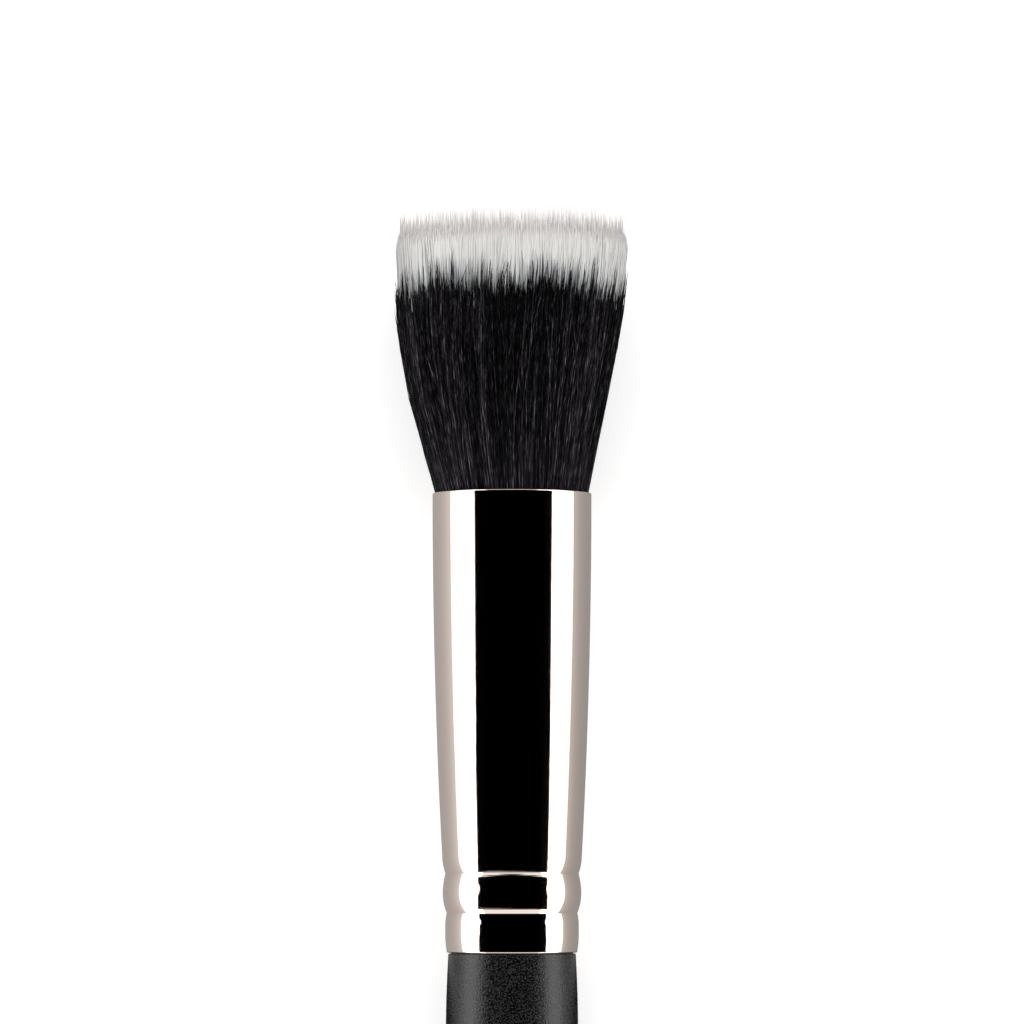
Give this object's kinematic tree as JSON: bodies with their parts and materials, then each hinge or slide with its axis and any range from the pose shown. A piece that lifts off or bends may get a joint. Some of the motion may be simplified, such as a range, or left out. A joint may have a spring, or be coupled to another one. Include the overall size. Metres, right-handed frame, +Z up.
{
  "type": "foundation brush",
  "caption": "Flat-topped round face brush lying on its side: dense dark hair with pale tips, crimped mirror-polished metal ferrule, matt black tapered handle.",
  "frame": {"origin": "on the surface that the brush lies on, under the middle of its box", "axes": "+Y along the brush towards the tips of the hair, +Z up, +X to the right when the tuft points away"},
  "size_m": [0.025, 0.1906, 0.0245],
  "materials": {
    "polished_metal": "polished",
    "matt_black_lacquer": "matte",
    "clear_glue": "gloss",
    "dark_hair": "satin",
    "pale_hair": "satin"
  },
  "bodies": {
    "root": {"ferrule": "polished_metal", "handle": "matt_black_lacquer", "glue_plug": "clear_glue", "dark_hair": "dark_hair", "pale_tips": "pale_hair"}
  },
  "joints": []
}
